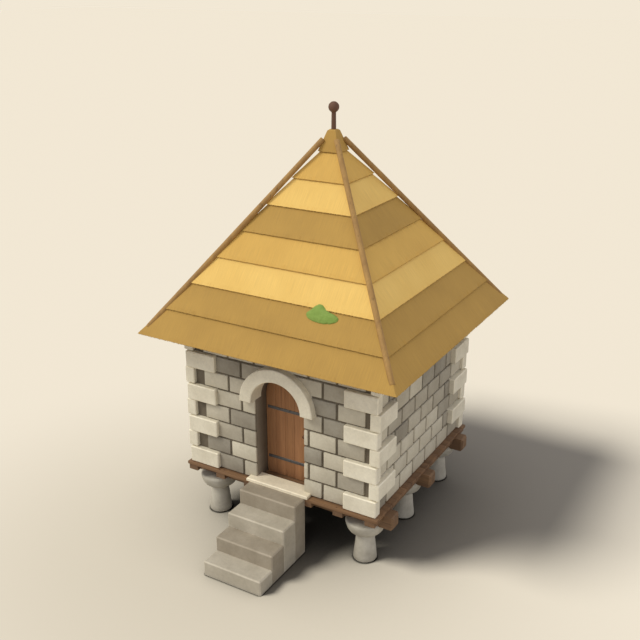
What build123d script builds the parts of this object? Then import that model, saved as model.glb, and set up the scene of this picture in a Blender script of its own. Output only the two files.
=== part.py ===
"""Raised granary: a square stone store on nine staddle stones, under a thatched pyramid roof.

The frame stands on the ground at Z 0. X runs across the front, Y runs from the front (-Y, the
door) to the back, and the origin is under the middle staddle stone. All sizes are millimetres.
"""
from build123d import *
from math import atan2, cos, degrees, hypot, pi, radians, sin, tan
import os

# Staddle stones: nine tapered bases with flared caps, three rows of three
staddle_inset = 220
staddle_sides = 32
base_foot_radius = 170
base_foot_bevel = 22
base_neck_radius = 126
base_height = 410
cap_neck_radius = 134
cap_belly_radius = 238
cap_belly_height = 74
cap_rim_radius = 284
cap_rim_height = 205
cap_crown_radius = 266
cap_height = 240
bearer_seat_depth = 16

# Floor timbers: three bearers on the caps, seven joists cogged into them, one deck
bearer_width = 200
bearer_depth = 200
bearer_overhang = 460
bearer_end_chamfer = 24
joist_width = 150
joist_depth = 70
joist_inset = 34
joist_count = 7
deck_overhang = 116
deck_thickness = 46

# Walls: a stone core, cut for the doorway, toothed for the corner stones
wall_half = 1470
wall_thickness = 300
stone_course = 257
stone_courses = 9
stone_joint = 10

# Corner stones, long along X in one course and long along Y in the next
quoin_bevel = 12
quoin_x_length = 500
quoin_x_thickness = 140
quoin_x_overhang = 72
quoin_x_proud = 80
quoin_y_length = 520
quoin_y_thickness = 152
quoin_y_overhang = 61
quoin_y_proud = 104

# Doorway, arch ring and threshold slab
doorway_half = 400
springing_height = 1260
arch_ring_width = 188
arch_ring_proud = 134
arch_ring_bedded = 140
arch_ring_bevel = 12
threshold_ear = 108
threshold_thickness = 46
threshold_proud = 131
threshold_gap = 24
threshold_tongue = 114
threshold_bevel = 10

# Door: an arched leaf on two pintles at the left jamb, with iron bands and a knob
leaf_gap = 10
leaf_foot_gap = 7
leaf_thickness = 44
band_end_gap = 25
band_height = 44
band_thickness = 8
lower_band_height = 276
upper_band_height = 1068
knob_radius = 26
knob_sides = 8
knob_bevel = 11
knob_reach = 52
knob_stem_radius = 12
knob_stem_length = 20
knob_height = 745
knob_inset = 140
pin_radius = 8
pin_length = 64
pin_play = 0.3
eye_radius = 16
eye_sides = 12
eye_height = 46
eye_lift = 1
hinge_setback = 22
strap_end_gap = 2
strap_free_end = 158
strap_height = 40
strap_thickness = 8
pintle_arm_height = 12
pintle_plate_width = 90
pintle_plate_height = 120
pintle_plate_thickness = 8
pintle_plate_gap = 14

# Steps: four full-height stone blocks, the highest a little shallower
step_count = 4
step_inset = 45
step_going = 293
step_bevel = 16
top_step_cut = 32

# Roof: courses of thatch, each lower edge standing proud of the course below
eave_overhang = 530
roof_angle = 52.76
thatch_courses = 8
course_lip = 30
thatch_width = 190
crown_foot_half = 159
crown_half = 58
crown_rise = 288
crown_bevel = 16

# Roof timbers
plate_width = 240
plate_depth = 150
plate_setback = 30
common_width = 70
common_depth = 120
rafter_notch = 54.5
hip_width = 80
hip_depth = 90
jack_inset = 800
rafter_tail_lift = 10
post_half = 95
post_length = 450
post_foot_bevel = 12

# Poles along the four hips, and the finial
pole_radius = 40
pole_sides = 12
pole_foot_inset = 110
pole_foot_lift = 83
pole_head_half = 105
pole_head_drop = 127
pole_end_bevel = 6
finial_rod_radius = 34
finial_ball_radius = 75
finial_ball_sides = 16
finial_ball_bands = 6
finial_ball_height = 296

# Floor places worked out from the sizes above
staddle_spacing = wall_half - staddle_inset
bearer_length = 2 * (staddle_spacing + bearer_overhang)
bearer_bottom = base_height + cap_height - bearer_seat_depth
deck_bottom = bearer_bottom + bearer_depth
deck_half = wall_half + deck_overhang
joist_half_span = deck_half - joist_inset - joist_width / 2
floor_level = deck_bottom + deck_thickness

# Wall, doorway and step places worked out from the sizes above
wall_top = floor_level + stone_course * stone_courses
wall_inner = wall_half - wall_thickness
quoin_x_end = wall_half + quoin_x_overhang
quoin_x_face = wall_half + quoin_x_proud
quoin_y_end = wall_half + quoin_y_overhang
quoin_y_face = wall_half + quoin_y_proud
springing = floor_level + springing_height
threshold_half = doorway_half + threshold_ear
threshold_front = wall_half + threshold_proud
threshold_back = wall_half + threshold_gap
threshold_tongue_end = wall_half - threshold_tongue
threshold_top = floor_level + threshold_thickness
step_half_width = threshold_half - step_inset
step_rise = floor_level / step_count

# Door places worked out from the sizes above
leaf_half = doorway_half - leaf_gap
leaf_front = -wall_inner - leaf_thickness
band_length = 2 * (leaf_half - band_end_gap)
knob_offset = leaf_half - knob_inset
hinge_x = -doorway_half
hinge_y = -wall_inner + hinge_setback

# Roof places worked out from the sizes above: the rafters' seats on the plate set the eaves
roof_pitch = tan(radians(roof_angle))
plate_top = wall_top + plate_depth
plate_outer = wall_half - plate_setback
jack_offset = plate_outer - jack_inset
eave_half = wall_half + eave_overhang
void_eave_half = eave_half - thatch_width
seat_level = plate_top - rafter_notch + common_depth * hypot(1, roof_pitch)
eave_height = seat_level - (void_eave_half - plate_outer) * roof_pitch
course_run = (eave_half - crown_foot_half) / (thatch_courses - 1)
course_rise = course_run * roof_pitch
crown_foot = eave_height + (thatch_courses - 1) * course_rise
crown_top = crown_foot + crown_rise
post_top = eave_height + (void_eave_half - post_half) * roof_pitch
sides = (-1, 1)

os.makedirs("parts", exist_ok=True)


def box_between(low, high):
    """Add an upright box between two opposite corners to the current part."""
    low_corner = Vector(*low)
    high_corner = Vector(*high)
    size = high_corner - low_corner
    with Locations((low_corner + high_corner) / 2):
        Box(size.X, size.Y, size.Z)


# ---------------------------------------------------------------- staddle stones


def tapered_slice(bottom, bottom_radius, top, top_radius, side_count):
    """One slice of a many-sided solid, made wide end down and mirrored if it widens upwards."""
    wide = max(bottom_radius, top_radius)
    inward = (wide - min(bottom_radius, top_radius)) * cos(pi / side_count)
    widens = top_radius > bottom_radius
    with BuildPart() as one_slice:
        with BuildSketch(Plane.XY.offset(-top if widens else bottom)):
            RegularPolygon(wide, side_count)
        extrude(amount=top - bottom, taper=degrees(atan2(inward, top - bottom)))
    return one_slice.part.mirror(Plane.XY) if widens else one_slice.part


def tapered_solid(levels, side_count):
    """A many-sided solid through several levels, each a pair of height and radius."""
    with BuildPart() as solid:
        for (bottom, bottom_radius), (top, top_radius) in zip(levels, levels[1:]):
            add(tapered_slice(bottom, bottom_radius, top, top_radius, side_count))
    return solid.part


def staddle_bases():
    taper = (base_foot_radius - base_neck_radius) / base_height
    levels = (
        (0, base_foot_radius - base_foot_bevel),
        (base_foot_bevel, base_foot_radius - base_foot_bevel * taper),
        (base_height, base_neck_radius),
    )
    with BuildPart() as staddle_bases:
        with GridLocations(staddle_spacing, staddle_spacing, 3, 3):
            add(tapered_solid(levels, staddle_sides))
    staddle_bases.part.label = "staddle_bases"
    export_step(staddle_bases.part, "parts/staddle_bases.step")


def staddle_caps():
    """Flared caps on the bases, each with a seat cut across it for a bearer."""
    levels = (
        (base_height, cap_neck_radius),
        (base_height + cap_belly_height, cap_belly_radius),
        (base_height + cap_rim_height, cap_rim_radius),
        (base_height + cap_height, cap_crown_radius),
    )
    with BuildPart() as one_cap:
        add(tapered_solid(levels, staddle_sides))
        with Locations((0, 0, bearer_bottom + bearer_seat_depth / 2)):
            Box(3 * cap_rim_radius, bearer_width, bearer_seat_depth, mode=Mode.SUBTRACT)
    with BuildPart() as staddle_caps:
        with GridLocations(staddle_spacing, staddle_spacing, 3, 3):
            add(one_cap.part)
    staddle_caps.part.label = "staddle_caps"
    export_step(staddle_caps.part, "parts/staddle_caps.step")


# ---------------------------------------------------------------- floor timbers


def joist_places():
    spacing = 2 * joist_half_span / (joist_count - 1)
    joist_z = deck_bottom - joist_depth / 2
    return [(i * spacing - joist_half_span, 0, joist_z) for i in range(joist_count)]


def bearer(name, y):
    with BuildPart() as bearer:
        with Locations((0, y, bearer_bottom + bearer_depth / 2)):
            Box(bearer_length, bearer_width, bearer_depth)
        end_faces = bearer.faces().filter_by(Axis.X)
        chamfer(end_faces.edges(), bearer_end_chamfer)
        with Locations(*joist_places()):
            Box(joist_width, 2 * deck_half, joist_depth, mode=Mode.SUBTRACT)
    bearer.part.label = name
    export_step(bearer.part, f"parts/{name}.step")


def floor_joists():
    with BuildPart() as floor_joists:
        with Locations(*joist_places()):
            Box(joist_width, 2 * deck_half, joist_depth)
    floor_joists.part.label = "floor_joists"
    export_step(floor_joists.part, "parts/floor_joists.step")


def floor_deck():
    with BuildPart() as floor_deck:
        with Locations((0, 0, deck_bottom + deck_thickness / 2)):
            Box(2 * deck_half, 2 * deck_half, deck_thickness)
    floor_deck.part.label = "floor_deck"
    export_step(floor_deck.part, "parts/floor_deck.step")


# ---------------------------------------------------------------- corner stones and walls


def quoin_corners(course):
    """Low and high corner of the stone at the right of the front, in one course."""
    bottom = floor_level + course * stone_course + stone_joint / 2
    top = bottom + stone_course - stone_joint
    if course % 2 == 0:
        low = (quoin_x_end - quoin_x_length, -quoin_x_face, bottom)
        high = (quoin_x_end, quoin_x_thickness - quoin_x_face, top)
    else:
        low = (quoin_y_face - quoin_y_thickness, -quoin_y_end, bottom)
        high = (quoin_y_face, quoin_y_length - quoin_y_end, top)
    return low, high


def corner_stones(bevel):
    """All the stones of the corner at the right of the front."""
    with BuildPart() as stones:
        for course in range(stone_courses):
            low, high = quoin_corners(course)
            box_between(low, high)
        if bevel:
            chamfer(stones.edges(), bevel)
    return stones.part


def quoins(name, side_x, side_y):
    stones = corner_stones(quoin_bevel)
    if side_x < 0:
        stones = stones.mirror(Plane.YZ)
    if side_y > 0:
        stones = stones.mirror(Plane.XZ)
    with BuildPart() as quoins:
        add(stones)
    quoins.part.label = name
    export_step(quoins.part, f"parts/{name}.step")


def wall_toothing():
    """The corner stones of all four corners, with square arrises, to cut the walls with."""
    with BuildPart() as toothing:
        add(corner_stones(0))
        mirror(about=Plane.YZ)
        mirror(about=Plane.XZ)
    return toothing.part


def arch_ring(front, back):
    """The half ring over the doorway, between two depths along Y."""
    outer = doorway_half + arch_ring_width
    with BuildPart() as ring:
        with BuildSketch(Plane.XZ.offset(-back)):
            with Locations((0, springing)):
                Circle(outer)
                Circle(doorway_half, mode=Mode.SUBTRACT)
            with Locations((0, springing - outer)):
                Rectangle(3 * outer, 2 * outer, mode=Mode.SUBTRACT)
        extrude(amount=back - front)
    return ring.part


def doorway_space():
    """The doorway through the front wall: straight jambs and a half-round head."""
    with BuildPart() as space:
        with BuildSketch(Plane.XZ.offset(wall_inner)):
            with Locations((0, springing)):
                Circle(doorway_half)
            with Locations((0, (springing + floor_level) / 2)):
                Rectangle(2 * doorway_half, springing - floor_level)
        extrude(amount=wall_thickness)
    return space.part


def front_wall_piece(name, left, right, bottom):
    with BuildPart() as wall:
        box_between((left, -wall_half, bottom), (right, -wall_inner, wall_top))
        add(arch_ring(-wall_half, arch_ring_bedded - wall_half), mode=Mode.SUBTRACT)
        add(doorway_space(), mode=Mode.SUBTRACT)
        add(wall_toothing(), mode=Mode.SUBTRACT)
    wall.part.label = name
    export_step(wall.part, f"parts/{name}.step")


def plain_wall(name, low_x, low_y, high_x, high_y):
    with BuildPart() as wall:
        box_between((low_x, low_y, floor_level), (high_x, high_y, wall_top))
        add(wall_toothing(), mode=Mode.SUBTRACT)
    wall.part.label = name
    export_step(wall.part, f"parts/{name}.step")


# ---------------------------------------------------------------- doorway stones and steps


def door_arch():
    with BuildPart() as door_arch:
        add(arch_ring(-wall_half - arch_ring_proud, arch_ring_bedded - wall_half))
        front_face = door_arch.faces().sort_by(Axis.Y)[0]
        chamfer(front_face.edges(), arch_ring_bevel)
    door_arch.part.label = "door_arch"
    export_step(door_arch.part, "parts/door_arch.step")


def threshold():
    """A slab before the door: ears outside the wall face, and a tongue a little way into the doorway."""
    with BuildPart() as threshold:
        box_between(
            (-threshold_half, -threshold_front, floor_level),
            (threshold_half, -threshold_back, threshold_top),
        )
        top_face = threshold.faces().sort_by(Axis.Z)[-1]
        chamfer(top_face.edges().sort_by(Axis.Y)[:-1], threshold_bevel)
        box_between(
            (-doorway_half, -threshold_back, floor_level),
            (doorway_half, -threshold_tongue_end, threshold_top),
        )
    threshold.part.label = "threshold"
    export_step(threshold.part, "parts/threshold.step")


def stone_step(number):
    front = top_step_cut - deck_half - step_going * (step_count - number + 1)
    back = min(front + step_going, -deck_half)
    with BuildPart() as stone_step:
        box_between((-step_half_width, front, 0), (step_half_width, back, step_rise * number))
        top_face = stone_step.faces().sort_by(Axis.Z)[-1]
        front_face = stone_step.faces().sort_by(Axis.Y)[0]
        top_edges = top_face.edges().sort_by(Axis.Y)[:-1]
        upright_edges = front_face.edges().filter_by(Axis.Z)
        chamfer(top_edges + upright_edges, step_bevel)
    stone_step.part.label = f"step_{number}"
    export_step(stone_step.part, f"parts/step_{number}.step")


# ---------------------------------------------------------------- door


def band_levels():
    return (floor_level + lower_band_height, floor_level + upper_band_height)


def door_leaf():
    bottom = floor_level + leaf_foot_gap
    with BuildPart() as door_leaf:
        with BuildSketch(Plane.XZ.offset(wall_inner)):
            with Locations((0, springing)):
                Circle(leaf_half)
            with Locations((0, (springing + bottom) / 2)):
                Rectangle(2 * leaf_half, springing - bottom)
        extrude(amount=leaf_thickness)
    door_leaf.part.label = "door_leaf"
    export_step(door_leaf.part, "parts/door_leaf.step")


def door_bands():
    with BuildPart() as door_bands:
        for level in band_levels():
            with Locations((0, leaf_front - band_thickness / 2, level)):
                Box(band_length, band_thickness, band_height)
        front_faces = door_bands.faces().filter_by(Axis.Y).group_by(Axis.Y)[0]
        chamfer(front_faces.edges(), band_thickness / 3)
    door_bands.part.label = "door_bands"
    export_step(door_bands.part, "parts/door_bands.step")


def door_knob():
    """An eight-sided knob on a short stem, its face bevelled all round."""
    level = floor_level + knob_height
    with BuildPart() as door_knob:
        with BuildSketch(Plane(origin=(knob_offset, leaf_front, level), z_dir=(0, -1, 0))):
            RegularPolygon(knob_stem_radius, knob_sides)
        extrude(amount=knob_stem_length)
        head_back = door_knob.faces().sort_by(Axis.Y)[0]
        with BuildSketch(Plane(origin=head_back.center(), z_dir=(0, -1, 0))):
            RegularPolygon(knob_radius, knob_sides)
        extrude(amount=knob_reach - knob_stem_length)
        head_front = door_knob.faces().sort_by(Axis.Y)[0]
        chamfer(head_front.edges(), knob_bevel)
    door_knob.part.label = "door_knob"
    export_step(door_knob.part, "parts/door_knob.step")


def hinge_straps():
    """Two long straps on the inner face of the leaf, each ending in an eye round its pin."""
    strap_start = strap_end_gap - leaf_half
    with BuildPart() as hinge_straps:
        for level in band_levels():
            low_z = level - strap_height / 2
            high_z = level + strap_height / 2
            with BuildSketch(Plane.XY.offset(level - eye_height / 2)):
                with Locations((hinge_x, hinge_y)):
                    RegularPolygon(eye_radius, eye_sides)
            extrude(amount=eye_height)
            box_between(
                (hinge_x, strap_thickness / 2 - wall_inner, low_z),
                (strap_start + eye_radius, hinge_y, high_z),
            )
            box_between(
                (strap_start, -wall_inner, low_z),
                (leaf_half - strap_free_end, strap_thickness - wall_inner, high_z),
            )
            with Locations((hinge_x, hinge_y, level)):
                Cylinder(pin_radius + pin_play, eye_height, mode=Mode.SUBTRACT)
    hinge_straps.part.label = "hinge_straps"
    export_step(hinge_straps.part, "parts/hinge_straps.step")


def hinge_pintles():
    """Two pins rising from arms on plates, fast to the inner face of the wall by the left jamb."""
    plate_right = hinge_x - eye_radius - pintle_plate_gap
    with BuildPart() as hinge_pintles:
        for level in band_levels():
            arm_top = level - eye_height / 2 - eye_lift
            arm_bottom = arm_top - pintle_arm_height
            box_between(
                (plate_right - pintle_plate_width, -wall_inner, level - pintle_plate_height / 2),
                (plate_right, pintle_plate_thickness - wall_inner, level + pintle_plate_height / 2),
            )
            box_between(
                (plate_right - pintle_plate_width / 2, -wall_inner, arm_bottom),
                (hinge_x + pin_radius, hinge_y + pin_radius, arm_top),
            )
            with Locations((hinge_x, hinge_y, arm_top + pin_length / 2)):
                Cylinder(pin_radius, pin_length)
    hinge_pintles.part.label = "hinge_pintles"
    export_step(hinge_pintles.part, "parts/hinge_pintles.step")


# ---------------------------------------------------------------- roof timbers


def wall_plate_ring():
    outer = wall_half - plate_setback
    inner = outer - plate_width
    with BuildPart() as ring:
        with BuildSketch(Plane.XY.offset(wall_top)):
            Rectangle(2 * outer, 2 * outer)
            Rectangle(2 * inner, 2 * inner, mode=Mode.SUBTRACT)
        extrude(amount=plate_depth)
    return ring.part


def wall_plate():
    with BuildPart() as wall_plate:
        add(wall_plate_ring())
    wall_plate.part.label = "wall_plate"
    export_step(wall_plate.part, "parts/wall_plate.step")


def apex_block():
    with BuildPart() as block:
        with Locations((0, 0, post_top - post_length / 2)):
            Box(2 * post_half, 2 * post_half, post_length)
    return block.part


def apex_post():
    with BuildPart() as apex_post:
        add(apex_block())
        foot_face = apex_post.faces().sort_by(Axis.Z)[0]
        chamfer(foot_face.edges(), post_foot_bevel)
    apex_post.part.label = "apex_post"
    export_step(apex_post.part, "parts/apex_post.step")


def rafter_plane(angle, offset=0):
    """An upright plane whose local X runs outwards at an angle, moved sideways by an offset."""
    outwards = Vector(1, 0, 0).rotate(Axis.Z, angle)
    sideways = outwards.rotate(Axis.Z, -90)
    return Plane(origin=sideways * offset, x_dir=outwards, z_dir=sideways)


def rafter(plane, stretch, width, depth, settle, head):
    """A rafter under the thatch, with a level tail, an upright head and a seat on the wall plate.

    stretch is how much longer its run is than the roof's, and settle how far it lies below it.
    """
    pitch = roof_pitch / stretch
    eave_run = void_eave_half * stretch
    drop = depth * hypot(1, pitch)
    top_at_head = eave_height + (eave_run - head) * pitch - settle
    tail_run = eave_run - (rafter_tail_lift + settle) / pitch
    tail_level = eave_height + rafter_tail_lift
    with BuildPart() as rafter:
        with BuildSketch(plane):
            with BuildLine():
                Polyline(
                    (tail_run, tail_level),
                    (head, top_at_head),
                    (head, top_at_head - drop),
                    (tail_run - drop / pitch, tail_level),
                    close=True,
                )
            make_face()
        extrude(amount=width / 2, both=True)
        add(wall_plate_ring(), mode=Mode.SUBTRACT)
    return rafter.part


def jack_rafter(angle, offset):
    """A short rafter beside the middle one, its head cut to the side of the hip rafter."""
    with BuildPart() as jack:
        add(rafter(rafter_plane(angle, offset), 1, common_width, common_depth, 0, 0))
        hip_angle = angle - 45 if offset > 0 else angle + 45
        hip_side = Vector(1, 0, 0).rotate(Axis.Z, 2 * angle - hip_angle)
        split(bisect_by=Plane(origin=hip_side * (hip_width / 2), z_dir=hip_side), keep=Keep.TOP)
    return jack.part


def common_rafters():
    with BuildPart() as common_rafters:
        for angle in (0, 90, 180, 270):
            add(rafter(rafter_plane(angle), 1, common_width, common_depth, 0, post_half))
            add(jack_rafter(angle, jack_offset))
            add(jack_rafter(angle, -jack_offset))
    common_rafters.part.label = "common_rafters"
    export_step(common_rafters.part, "parts/common_rafters.step")


def hip_rafters():
    diagonal = hypot(1, 1)
    settle = hip_width / 2 / diagonal * roof_pitch
    head = post_half * diagonal - hip_width / 2
    with BuildPart() as hip_rafters:
        for angle in (45, 135, 225, 315):
            add(rafter(rafter_plane(angle), diagonal, hip_width, hip_depth, settle, head))
        add(apex_block(), mode=Mode.SUBTRACT)
    hip_rafters.part.label = "hip_rafters"
    export_step(hip_rafters.part, "parts/hip_rafters.step")


# ---------------------------------------------------------------- thatch, poles and finial


def square_frustum(bottom_half, bottom, top_half, top):
    """A square block with sloping sides: the same trapezium seen from the front and from the side."""
    outline = [(-bottom_half, bottom), (bottom_half, bottom), (top_half, top), (-top_half, top)]
    with BuildPart() as frustum:
        for plane, mode in ((Plane.XZ, Mode.ADD), (Plane.YZ, Mode.INTERSECT)):
            with BuildSketch(plane):
                with BuildLine():
                    Polyline(*outline, close=True)
                make_face()
            extrude(amount=bottom_half, both=True, mode=mode)
    return frustum.part


def pole(side_x, side_y):
    """A hewn pole laid down one hip, bedded in the thatch over its whole length."""
    foot_half = eave_half - pole_foot_inset
    foot = Vector(side_x * foot_half, side_y * foot_half, eave_height + pole_foot_lift)
    head = Vector(side_x * pole_head_half, side_y * pole_head_half, crown_top - pole_head_drop)
    with BuildPart() as pole:
        with BuildSketch(Plane(origin=foot, z_dir=head - foot)):
            RegularPolygon(pole_radius, pole_sides)
        extrude(amount=(head - foot).length)
    return pole.part


def hip_pole(name, side_x, side_y):
    with BuildPart() as hip_pole:
        add(pole(side_x, side_y))
        faces_by_height = hip_pole.faces().sort_by(Axis.Z)
        end_edges = faces_by_height[0].edges() + faces_by_height[-1].edges()
        chamfer(end_edges, pole_end_bevel)
    hip_pole.part.label = name
    export_step(hip_pole.part, f"parts/{name}.step")


def finial():
    """A rod through the crown of the thatch, and a many-sided ball on its end."""
    ball_level = crown_top + finial_ball_height
    step = pi / (finial_ball_bands + 1)
    angles = [(band + 0.5) * step - pi / 2 for band in range(finial_ball_bands + 1)]
    levels = [(ball_level + finial_ball_radius * sin(a), finial_ball_radius * cos(a)) for a in angles]
    with BuildPart() as finial:
        add(tapered_solid(levels, finial_ball_sides))
        with BuildSketch(Plane.XY.offset(post_top)):
            Circle(finial_rod_radius)
        extrude(amount=ball_level - post_top)
    finial.part.label = "finial"
    export_step(finial.part, "parts/finial.step")


def thatch_course(number):
    """One course of thatch, counted from the crown: a hollow frustum under the poles."""
    foot_half = eave_half - (thatch_courses - number) * course_run
    foot = eave_height + (thatch_courses - number) * course_rise
    with BuildPart() as thatch_course:
        if number == 1:
            add(square_frustum(foot_half, foot, crown_half, crown_top))
            crown_face = thatch_course.faces().sort_by(Axis.Z)[-1]
            chamfer(crown_face.edges(), crown_bevel)
        else:
            add(square_frustum(foot_half, foot, foot_half - course_run - course_lip, foot + course_rise))
        add(square_frustum(void_eave_half, eave_height, post_half, post_top), mode=Mode.SUBTRACT)
        with BuildSketch(Plane.XY.offset(post_top)):
            Circle(finial_rod_radius)
        extrude(amount=crown_top - post_top, mode=Mode.SUBTRACT)
        for side_x in sides:
            for side_y in sides:
                add(pole(side_x, side_y), mode=Mode.SUBTRACT)
    thatch_course.part.label = f"thatch_course_{number}"
    export_step(thatch_course.part, f"parts/thatch_course_{number}.step")


# ---------------------------------------------------------------- the whole granary

corners = {
    "front_left": (-1, -1),
    "front_right": (1, -1),
    "back_left": (-1, 1),
    "back_right": (1, 1),
}

staddle_bases()
staddle_caps()
bearer("bearer_front", -staddle_spacing)
bearer("bearer_middle", 0)
bearer("bearer_back", staddle_spacing)
floor_joists()
floor_deck()
front_wall_piece("front_wall_left", -wall_half, -doorway_half, floor_level)
front_wall_piece("front_wall_right", doorway_half, wall_half, floor_level)
front_wall_piece("front_wall_over_door", -doorway_half, doorway_half, springing)
plain_wall("left_wall", -wall_half, -wall_inner, -wall_inner, wall_inner)
plain_wall("right_wall", wall_inner, -wall_inner, wall_half, wall_inner)
plain_wall("back_wall", -wall_half, wall_inner, wall_half, wall_half)
door_arch()
threshold()
for number in range(1, step_count + 1):
    stone_step(number)
door_leaf()
door_bands()
door_knob()
hinge_straps()
hinge_pintles()
wall_plate()
apex_post()
common_rafters()
hip_rafters()
for number in range(1, thatch_courses + 1):
    thatch_course(number)
for corner, (side_x, side_y) in corners.items():
    quoins(f"quoins_{corner}", side_x, side_y)
    hip_pole(f"hip_pole_{corner}", side_x, side_y)
finial()
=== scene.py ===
import math
import random

import bpy
from mathutils import Matrix, Vector


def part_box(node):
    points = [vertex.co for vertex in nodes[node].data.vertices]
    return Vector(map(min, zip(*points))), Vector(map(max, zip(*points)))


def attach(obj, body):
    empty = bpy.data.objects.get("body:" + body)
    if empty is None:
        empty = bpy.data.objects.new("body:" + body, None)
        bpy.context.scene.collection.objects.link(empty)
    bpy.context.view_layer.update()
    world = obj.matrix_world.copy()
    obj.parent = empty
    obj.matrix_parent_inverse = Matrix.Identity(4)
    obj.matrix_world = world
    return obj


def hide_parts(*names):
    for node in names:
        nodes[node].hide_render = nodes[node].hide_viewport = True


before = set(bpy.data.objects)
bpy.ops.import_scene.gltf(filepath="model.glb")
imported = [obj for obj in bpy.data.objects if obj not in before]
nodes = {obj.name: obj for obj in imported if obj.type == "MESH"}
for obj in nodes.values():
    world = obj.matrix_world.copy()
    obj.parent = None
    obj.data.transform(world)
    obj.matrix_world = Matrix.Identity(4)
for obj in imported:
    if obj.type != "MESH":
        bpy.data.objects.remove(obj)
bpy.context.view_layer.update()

# ---------------------------------------------------------------- the studio
# A pale floor with an even fill from all round, and one soft lamp high on the left, a little
# in front. A second lamp on the floor alone keeps it pale round a clear shadow, and painted shade
# darkens the floor near the store and under it. The camera stands off the front right corner,
# higher than the roof, and looks down on the object.


def tint(red, green, blue):
    """A colour given on the everyday scale of 0 to 255, as a shader's linear colour."""
    parts = [value / 255 for value in (red, green, blue)]
    return tuple(p / 12.92 if p < 0.04045 else ((p + 0.055) / 1.055) ** 2.4 for p in parts) + (1,)


def put(tree, kind, inputs=None, **fields):
    """Adds a shader node. Its inputs are plain values, or other nodes' sockets to be linked."""
    node = tree.nodes.new("ShaderNode" + kind)
    for field, value in fields.items():
        setattr(node, field, value)
    for name, value in (inputs or {}).items():
        if isinstance(value, bpy.types.NodeSocket):
            tree.links.new(value, node.inputs[name])
        else:
            node.inputs[name].default_value = value
    return node


def reckon(tree, operation, *values):
    """One sum on plain values or sockets, such as ADD, MULTIPLY or MAXIMUM."""
    return put(tree, "Math", dict(enumerate(values)), operation=operation).outputs[0]


def spread(tree, value, low, high, to_low=0.0, to_high=1.0, **fields):
    """A value whose span from low to high is spread over another span, and kept within it."""
    spans = {"From Min": low, "From Max": high, "To Min": to_low, "To Max": to_high}
    return put(tree, "MapRange", {"Value": value} | spans, **fields).outputs[0]


def blend(tree, amount, first, second):
    """A colour that goes from the first to the second as the amount goes from 0 to 1."""
    return put(tree, "Mix", {"Factor": amount, 6: first, 7: second}, data_type="RGBA").outputs[2]


def shaded(tree, colour, amount):
    """A colour made darker or lighter by an amount."""
    return put(tree, "VectorMath", {0: colour, "Scale": amount}, operation="SCALE").outputs[0]


def blank_material(name):
    """A material with its Principled shader and its place on the object."""
    material = bpy.data.materials.new(name)
    material.use_nodes = True
    tree = material.node_tree
    shader = tree.nodes["Principled BSDF"]
    place = put(tree, "TexCoord").outputs["Object"]
    return material, tree, shader, place


def seen_directly(tree):
    """1 where a camera, glossy or transmission ray looks at a surface, 0 where light only bounces."""
    ray = put(tree, "LightPath").outputs
    camera_or_glossy = reckon(tree, "MAXIMUM", ray["Is Camera Ray"], ray["Is Glossy Ray"])
    return reckon(tree, "MAXIMUM", camera_or_glossy, ray["Is Transmission Ray"])


studio = bpy.data.worlds.new("studio")
bpy.context.scene.world = studio
studio.use_nodes = True
sky = studio.node_tree
sky.nodes.clear()
fill = put(sky, "Background", {"Color": (1.0, 1.005, 1.05, 1), "Strength": 0.73})
backdrop = put(sky, "Background", {"Color": tint(242, 232, 213), "Strength": 1.0})
either = put(sky, "MixShader", {0: seen_directly(sky), 1: fill.outputs[0], 2: backdrop.outputs[0]})
put(sky, "OutputWorld", {"Surface": either.outputs[0]})

lamp_softness = math.radians(21)
lamp_kinds = (  # name, strength, colour, and the way that it shines
    ("soft_lamp", 1.52, (1.0, 0.965, 0.84), (0.78, 0.64, -1)),
    ("floor_lamp", 9.3, (1.0, 0.994, 0.95), (0.69, 0.635, -1)),
)
lamps = {}
for name, strength, colour, aim in lamp_kinds:
    lamp = bpy.data.objects.new(name, bpy.data.lights.new(name, "SUN"))
    bpy.context.scene.collection.objects.link(lamp)
    lamp.data.energy = strength
    lamp.data.angle = lamp_softness
    lamp.data.color = colour
    lamp.rotation_euler = Vector(aim).to_track_quat("-Z", "Y").to_euler()
    lamps[name] = lamp

camera = bpy.data.objects.new("camera", bpy.data.cameras.new("camera"))
bpy.context.scene.collection.objects.link(camera)
bpy.context.scene.camera = camera
camera.data.lens = 50
camera.data.sensor_width = 36
camera.data.clip_end = 500
around, above = math.radians(30.287), math.radians(21.2825)
flat = math.cos(above)
towards_camera = Vector((math.sin(around) * flat, -math.cos(around) * flat, math.sin(above)))
camera.location = (6.000, -10.643, 7.679)
camera.rotation_euler = towards_camera.to_track_quat("Z", "Y").to_euler()
bpy.context.scene.view_settings.view_transform = "Standard"

floor_size = 320
# Painted shade: the floor is painted darker near the front of the store, fading to its own pale tint
# further off.
shaded_near_floor, far_floor = tint(130, 124, 113), tint(143, 137, 127)
beside_the_steps = (-0.5, -2.25, 0)
fade_start, fade_end = 1.0, 6.5
underneath, at_the_foot = 1.7, 0.045  # how far each kind of shade reaches
bpy.ops.object.select_all(action="DESELECT")
bpy.ops.mesh.primitive_grid_add(x_subdivisions=8, y_subdivisions=8, size=floor_size)
floor = bpy.context.object
floor.name = "floor"
material, tree, shader, place = blank_material("floor_finish")
far = put(tree, "VectorMath", {0: place, 1: beside_the_steps}, operation="DISTANCE").outputs["Value"]
fade = spread(tree, far, fade_start, fade_end, interpolation_type="SMOOTHSTEP")
bounce = spread(tree, seen_directly(tree), 0, 1, 0.65, 1.0)
dimmed = shaded(tree, blend(tree, fade, shaded_near_floor, far_floor), bounce)
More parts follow.
